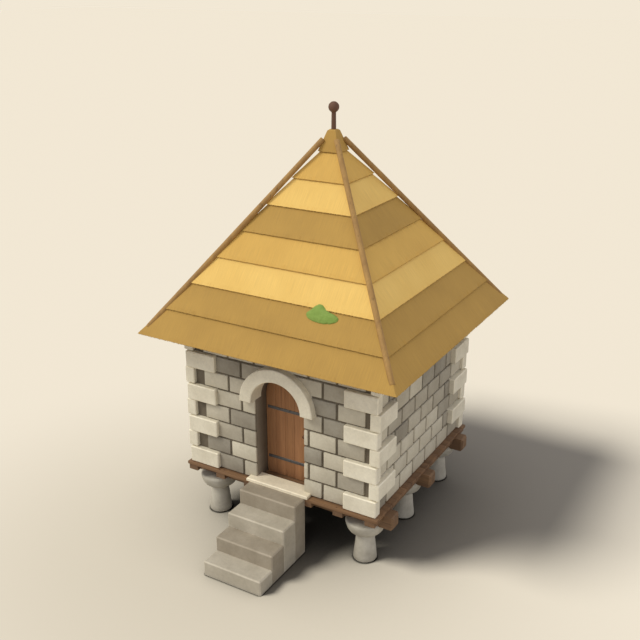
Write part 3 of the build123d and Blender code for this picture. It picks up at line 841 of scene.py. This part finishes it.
def straw_row(low, high, depth):
    """One row of loose straw ends along the front lip of a course, each shifted a little."""
    edge = Vector((-high.x + hip_gap, -high.y + depth, low.z))
    count = int((2 * high.x - 2 * hip_gap) / straw_spacing)
    bpy.ops.object.select_all(action="DESELECT")
    bpy.ops.mesh.primitive_cylinder_add(
        vertices=straw_sides, radius=straw_radius, depth=straw_length,
        location=edge + slope_up * straw_rise,
    )
    row = bpy.context.object
    row.rotation_euler = slope_up.to_track_quat("Z", "Y").to_euler()
    settle(row)
    apply_modifier(
        row, "ARRAY", count=count, use_relative_offset=False,
        use_constant_offset=True, constant_offset_displace=(straw_spacing, 0, 0),
    )
    for first in range(0, len(row.data.vertices), corners_each):
        shift = slope_up * random.uniform(-0.006, 0.004)
        shift += Vector((random.uniform(-0.004, 0.004), random.uniform(-0.003, 0.003), 0))
        for vertex in row.data.vertices[first:first + corners_each]:
            vertex.co += shift
    return row


for number, (straw, slot) in enumerate(zip(course_straw, straw_slots), 1):
    low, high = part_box(f"thatch_course_{number}")
    random.seed(200 + number)
    front = join([straw_row(low, high, depth) for depth in (0.005, 0.015)], f"straw_ends_{number}")
    others = [copy_of(front, Matrix.Rotation(math.pi / 2 * turn, 4, "Z")) for turn in (1, 2, 3)]
    fringe = join([front] + others, f"straw_ends_{number}")
    dress(fringe, straw)
    shade_soft(fringe, 60)
    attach(fringe, "building")

# ---------------------------------------------------------------- hip poles
# A peeled chestnut pole lies down each hip, bedded in the straw over its whole length. It keeps the
# wind from lifting the courses where they meet.

pole_finish = timber_material("pole_chestnut", (175, 136, 77), (153, 116, 66), "Z", 0.003)
foot_out, foot_level = 1.889, 3.0845
head_out, head_level = 0.106, 5.5815
pole_radius = 0.0385
cut_end_radius = 0.033
rounding = 0.006


def hip_pole(name, side_x, side_y, seed):
    """A round pole extruded in short lengths from the eaves to the crown, a little uneven in thickness."""
    random.seed(seed)
    foot = Vector((foot_out * side_x, foot_out * side_y, foot_level))
    head = Vector((head_out * side_x, head_out * side_y, head_level))
    whole = (head - foot).length
    along = (head - foot).normalized()
    bpy.ops.object.select_all(action="DESELECT")
    bpy.ops.mesh.primitive_circle_add(vertices=24, radius=cut_end_radius, fill_type="NGON")
    pole = bpy.context.object
    pole.matrix_world = Matrix.Translation(foot) @ along.to_track_quat("Z", "Y").to_matrix().to_4x4()
    settle(pole)
    edit_all()
    lengths = 14
    rings = [(rounding, 0.038)]
    for number in range(1, lengths):
        rings.append((number / lengths * whole, pole_radius + random.uniform(-0.0012, 0.0012)))
    rings += [(whole - rounding, 0.038), (whole, cut_end_radius)]
    distance, radius = 0, cut_end_radius
    for next_distance, next_radius in rings:
        shift = along * (next_distance - distance)
        bpy.ops.mesh.extrude_region_move(TRANSFORM_OT_translate={"value": shift})
        scale = next_radius / radius
        middle = foot + along * next_distance
        bpy.ops.transform.resize(value=(scale, scale, scale), center_override=middle)
        distance, radius = next_distance, next_radius
    turn_faces_out()
    settle(pole)
    pole.name = name
    return pole


corners = (("front_left", -1, -1), ("front_right", 1, -1), ("back_left", -1, 1), ("back_right", 1, 1))
for number, (corner, side_x, side_y) in enumerate(corners):
    pole = hip_pole(f"peeled_pole_{corner}", side_x, side_y, 70 + number)
    dress(pole, pole_finish)
    shade_soft(pole, 50)
    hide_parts(f"hip_pole_{corner}")
    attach(pole, "building")

# ---------------------------------------------------------------- finial
# A turned oak finial stands on the crown: a plain rod with a ball on top, stained dark brown. Its
# foot goes down through the straw to the post below.

low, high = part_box("finial")
rod_radius, neck_radius, ball_radius = 0.033, 0.031, 0.0745
ball_middle = high.z - 0.073
rings = [(low.z, rod_radius), (5.70, rod_radius), (5.73, 0.0335)]
rings += [(ball_middle - 0.085, neck_radius), (ball_middle - 0.073, neck_radius)]
ball_steps = 18
for number in range(1, ball_steps):
    angle = math.pi * number / ball_steps - math.pi / 2
    if ball_radius * math.cos(angle) > rod_radius or angle > 0:
        rings.append((ball_middle + ball_radius * math.sin(angle), ball_radius * math.cos(angle)))
turned_finial = round_form("turned_finial", rings, 32)
dress(turned_finial, timber_material("finial_oak", (114, 80, 60), (88, 61, 46), "Z"))
shade_soft(turned_finial, 40)
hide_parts("finial")
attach(turned_finial, "building")

# ---------------------------------------------------------------- moss
# A cushion of moss has taken hold on the front slope, where the lip of one course drips on to the
# next. It is low and soft, with one higher tuft against the lip.

cushion_middle = Vector((0.700, -1.515, 3.608))
half_length, half_thickness = 0.236, 0.040
reach_up, reach_down = 0.080, 0.088
tuft_place, tuft_width = -0.33, 0.42
tuft_reach, tuft_thickness = 0.080, 0.032
bpy.ops.object.select_all(action="DESELECT")
bpy.ops.mesh.primitive_ico_sphere_add(subdivisions=5, radius=1)
moss = bpy.context.object
moss.name = "moss_cushion"
for vertex in moss.data.vertices:
    x, y, z = vertex.co
    tuft = math.exp(-((x - tuft_place) / tuft_width) ** 2) * max(y, 0)
    up = (reach_up if y > 0 else reach_down) * y + tuft_reach * tuft
    out = half_thickness * z + tuft_thickness * tuft
    vertex.co = cushion_middle + Vector((half_length * x, 0, 0)) + slope_up * up + slope_out * out
settle(moss)
clumps = bpy.data.textures.new("moss_clumps", "CLOUDS")
clumps.noise_scale = 0.035
apply_modifier(moss, "DISPLACE", texture=clumps, texture_coords="LOCAL", strength=0.014)
material, tree, shader, place = blank_material("moss")
stems = noise(tree, place, Scale=90.0, Detail=6.0, Roughness=0.7)
patches = noise(tree, place, Scale=14.0, Detail=3.0)
greens = blend(tree, patches, tint(118, 148, 62), tint(146, 172, 88))
stem_shade = spread(tree, stems, 0.3, 0.7, 0.8, 1.12)
tree.links.new(shaded(tree, greens, stem_shade), shader.inputs["Base Color"])
bump = put(tree, "Bump", {"Height": stems, "Strength": 0.7, "Distance": 0.004})
tree.links.new(bump.outputs[0], shader.inputs["Normal"])
shader.inputs["Roughness"].default_value = 0.95
dress(moss, material)
shade_soft(moss, 60)
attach(moss, "building")
